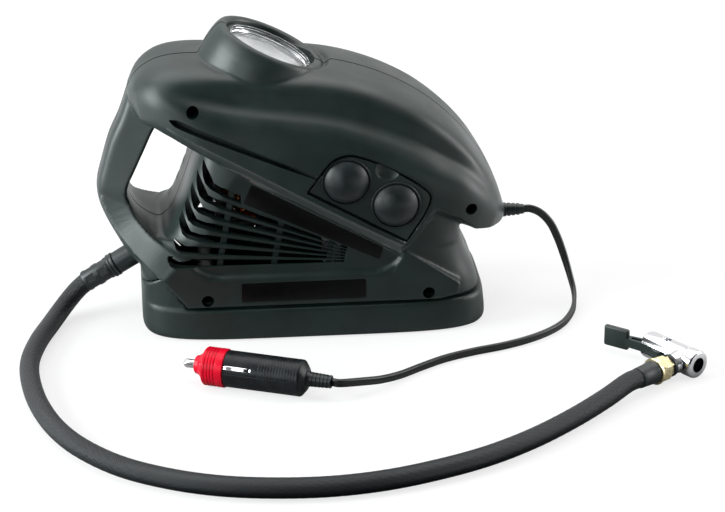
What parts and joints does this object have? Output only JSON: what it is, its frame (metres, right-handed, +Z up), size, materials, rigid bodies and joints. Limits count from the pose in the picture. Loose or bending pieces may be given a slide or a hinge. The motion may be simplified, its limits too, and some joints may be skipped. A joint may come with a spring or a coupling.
{
  "type": "portable tire inflator",
  "caption": "Portable tire inflator with a tilted work light, push buttons, louvred housing, carrying handle, braided air hose with a lever chuck, and a power cord with a vehicle plug.",
  "frame": {"origin": "centre of the base's underside, on the plane the base stands on", "axes": "+X towards the nose, away from the carrying handle; +Y away from the side with the push buttons; +Z up"},
  "size_m": [0.3676, 0.2852, 0.1684],
  "materials": {
    "black_abs": "satin moulded ABS with a fine spark-eroded texture",
    "black_nylon": "plain moulded nylon",
    "label_vinyl": "plain black printed vinyl, left bare",
    "rubber_black": "soft moulded rubber",
    "hose_braid": "braided black yarn over a rubber hose",
    "cord_pvc": "smooth flexible PVC",
    "red_abs": "glossy red moulded plastic",
    "lead_pvc": "insulated wire",
    "clear_lens": "clear polycarbonate",
    "bulb_glass": "clear glass",
    "fuse_glass": "clear glass with metal caps",
    "chrome_plate": "bright plated",
    "zinc_steel": "zinc plated",
    "motor_steel": "plated drawn steel",
    "copper_wire": "lacquered copper windings",
    "brass": "turned brass",
    "die_cast_aluminium": "as cast"
  },
  "bodies": {
    "housing": {"shell_near": "black_abs", "shell_far": "black_abs", "base": "black_abs", "base_pads": "rubber_black", "case_screws": "zinc_steel", "base_screws": "zinc_steel", "upper_label": "label_vinyl", "lower_label": "label_vinyl", "lamp_ring": "black_abs", "lamp_lens": "clear_lens", "lamp_reflector": "chrome_plate", "lamp_bulb": "bulb_glass", "bulb_holder": "black_nylon", "switch_panel": "black_abs", "button_seals": "rubber_black", "compressor_switch": "black_nylon", "light_switch": "black_nylon", "motor_can": "motor_steel", "motor_end_frame": "black_nylon", "shaft_bushes": "brass", "gearbox_frame": "die_cast_aluminium", "gear_bush": "brass", "cylinder": "die_cast_aluminium", "head_gasket": "rubber_black", "cylinder_head": "die_cast_aluminium", "head_screws": "zinc_steel", "air_tube": "rubber_black", "hose_fitting": "brass", "hose_sleeve": "rubber_black", "hose_band": "rubber_black", "air_hose": "hose_braid", "hose_ferrule": "rubber_black", "coupling_nut": "brass", "chuck_washer": "rubber_black", "chuck_barrel": "chrome_plate", "chuck_seal": "rubber_black", "lever_pin": "zinc_steel", "cord_gland": "black_nylon", "power_cord": "cord_pvc", "plug_relief": "black_nylon", "plug_barrel": "black_abs", "plug_contacts": "chrome_plate", "plug_ring": "red_abs", "plug_nose": "red_abs", "plug_fuse": "fuse_glass", "motor_leads": "lead_pvc"},
    "compressor_button_body": {"compressor_button": "rubber_black"},
    "light_button_body": {"light_button": "rubber_black"},
    "motor_rotor": {"armature": "copper_wire", "commutator": "copper_wire", "motor_shaft": "motor_steel", "cooling_fan": "black_nylon", "pinion": "brass"},
    "crank": {"crank_gear": "motor_steel", "gear_shaft": "motor_steel", "crank_pin": "motor_steel"},
    "piston_body": {"piston": "die_cast_aluminium", "piston_seal": "rubber_black"},
    "chuck_lever_body": {"chuck_lever": "black_abs"},
    "plug_tip_body": {"plug_tip": "chrome_plate"}
  },
  "joints": [
    {"name": "compressor_button_press", "type": "slide", "parent": "housing", "child": "compressor_button_body", "axis": [0, 1, 0], "range_m": [0, 0.003], "stiffness_N_per_m": 900, "springref_m": -0.0012},
    {"name": "light_button_press", "type": "slide", "parent": "housing", "child": "light_button_body", "axis": [0, 1, 0], "range_m": [0, 0.003], "stiffness_N_per_m": 900, "springref_m": -0.0012},
    {"name": "crank_spin", "type": "hinge", "parent": "housing", "child": "crank", "pos_m": [0.018, 0, 0.04], "axis": [1, 0, 0], "continuous": true},
    {"name": "motor_spin", "type": "hinge", "parent": "housing", "child": "motor_rotor", "pos_m": [-0.01, 0, 0.07], "axis": [1, 0, 0], "continuous": true},
    {"name": "piston_stroke", "type": "slide", "parent": "housing", "child": "piston_body", "axis": [0, 0, 1], "range_m": [-0.016, 0]},
    {"name": "chuck_lever_swing", "type": "hinge", "parent": "housing", "child": "chuck_lever_body", "pos_m": [0.18323, -0.09933, 0.0077], "axis": [0, 0, 1], "range_deg": [-90, 0]},
    {"name": "plug_tip_press", "type": "slide", "parent": "housing", "child": "plug_tip_body", "axis": [0.9272, -0.3746, 0], "range_m": [0, 0.0025], "stiffness_N_per_m": 1200, "springref_m": -0.001}
  ],
  "couplings": [
    {"joint": "crank_spin", "follows": "motor_spin", "ratio": -0.25}
  ]
}
